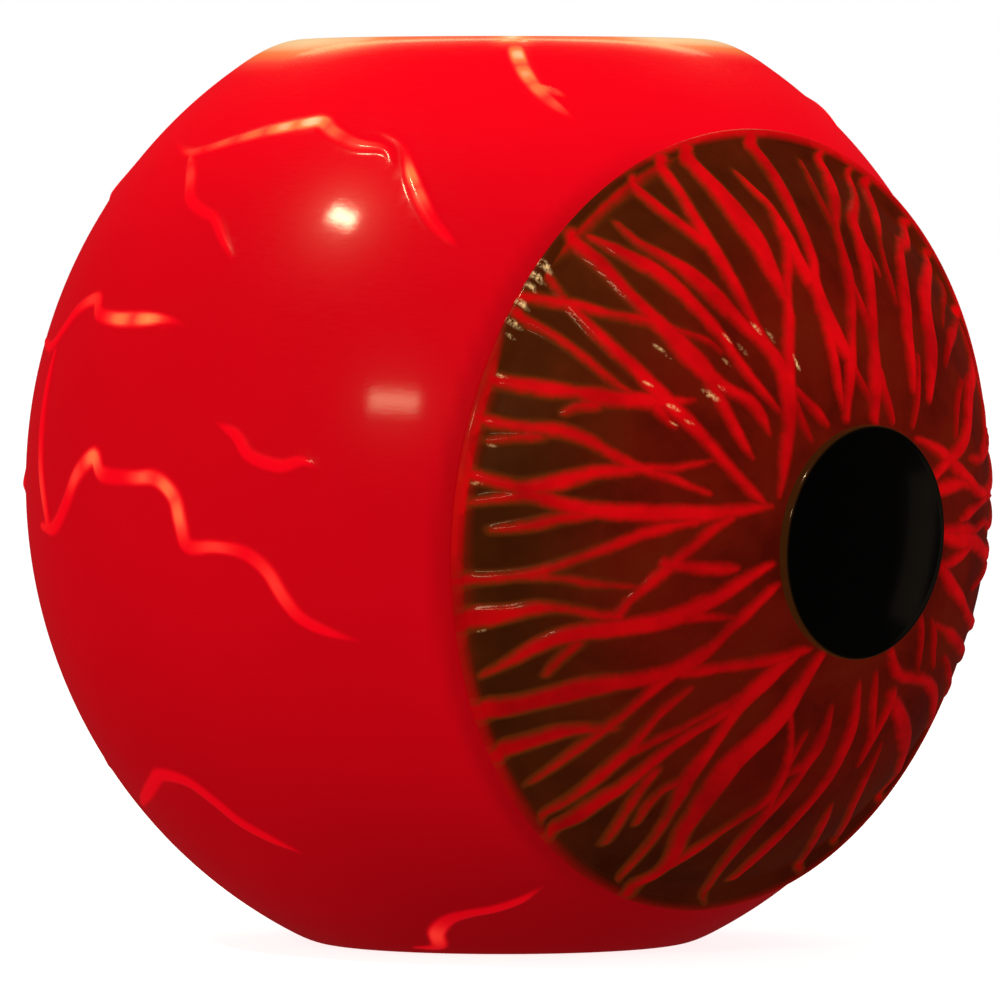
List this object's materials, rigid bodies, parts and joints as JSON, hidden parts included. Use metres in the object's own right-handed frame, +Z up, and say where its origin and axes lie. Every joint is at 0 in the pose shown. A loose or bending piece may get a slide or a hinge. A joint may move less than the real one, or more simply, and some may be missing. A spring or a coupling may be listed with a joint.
{
  "type": "glowing eyeball lamp",
  "caption": "Ball-shaped glow lamp made as an eyeball, with a bulging veined iris, a raised black pupil, flat top and base, and a sealed rechargeable light unit in its base.",
  "frame": {"origin": "centre of the base, in the plane that the lamp stands on, on the ball's upright axis", "axes": "+Z up, -Y towards the side that the eye looks at, +X to the eye's left, so that it is to the right of someone who faces the eye"},
  "size_m": [0.3998, 0.4196, 0.3779],
  "materials": {
    "glow_red_polyethylene": "translucent rotomoulded plastic, satin, lit from inside",
    "iris_painted_polyethylene": "clear gloss coat over painted facets, red ridges lit from inside",
    "pupil_black_gloss": "black high gloss",
    "black_rubber": "matt",
    "zinc_steel": "zinc plated",
    "housing_white_plastic": "fine moulded texture",
    "cover_white_plastic": "fine moulded texture",
    "button_grey_plastic": "satin",
    "black_plastic": "satin",
    "indicator_clear_plastic": "clear, polished",
    "diffuser_frosted_plastic": "frosted",
    "control_board_green": "green solder mask",
    "led_board_white": "white solder mask on aluminium",
    "led_package": "moulded package with a clear lens, lit red",
    "cell_blue_sleeve": "shrink sleeve",
    "lead_red": "soft insulation"
  },
  "bodies": {
    "lamp": {"eyeball_shell": "glow_red_polyethylene", "iris_dome": "iris_painted_polyethylene", "iris_gasket": "black_rubber", "pupil_cap": "pupil_black_gloss", "pupil_washer": "zinc_steel", "pupil_nut": "zinc_steel", "base_housing": "housing_white_plastic", "housing_seal": "black_rubber", "flange_screw_1": "zinc_steel", "flange_screw_2": "zinc_steel", "flange_screw_3": "zinc_steel", "flange_screw_4": "zinc_steel", "flange_screw_5": "zinc_steel", "flange_screw_6": "zinc_steel", "base_cover": "cover_white_plastic", "cover_screw_1": "zinc_steel", "cover_screw_2": "zinc_steel", "cover_screw_3": "zinc_steel", "cover_screw_4": "zinc_steel", "base_foot": "black_rubber", "button_spring": "zinc_steel", "button_switch": "black_plastic", "charging_socket": "black_plastic", "port_pivot_screw": "zinc_steel", "indicator_lens": "indicator_clear_plastic", "indicator_led": "led_package", "control_board": "control_board_green", "control_chip": "black_plastic", "charging_chip": "black_plastic", "board_screw_1": "zinc_steel", "board_screw_2": "zinc_steel", "board_screw_3": "zinc_steel", "battery_cradle": "black_plastic", "battery_cell_1": "cell_blue_sleeve", "battery_cell_2": "cell_blue_sleeve", "battery_cell_3": "cell_blue_sleeve", "cradle_screw_1": "zinc_steel", "cradle_screw_2": "zinc_steel", "led_board": "led_board_white", "led_1": "led_package", "led_2": "led_package", "led_3": "led_package", "led_4": "led_package", "led_5": "led_package", "led_6": "led_package", "led_7": "led_package", "led_8": "led_package", "light_diffuser": "diffuser_frosted_plastic", "diffuser_screw_1": "zinc_steel", "diffuser_screw_2": "zinc_steel", "diffuser_screw_3": "zinc_steel", "led_lead": "lead_red", "battery_lead": "black_rubber"},
    "power_button": {"power_button": "button_grey_plastic"},
    "port_cover": {"port_cover": "cover_white_plastic"}
  },
  "joints": [
    {"name": "power_button_press", "type": "slide", "parent": "lamp", "child": "power_button", "axis": [0, 0, 1], "range_m": [0, 0.0012], "stiffness_N_per_m": 400, "springref_m": -0.001, "deforming": ["button_spring"]},
    {"name": "port_cover_swing", "type": "hinge", "parent": "lamp", "child": "port_cover", "pos_m": [-0.02364, -0.01847, 0.0085], "axis": [0, 0, 1], "range_deg": [0, 90]}
  ]
}
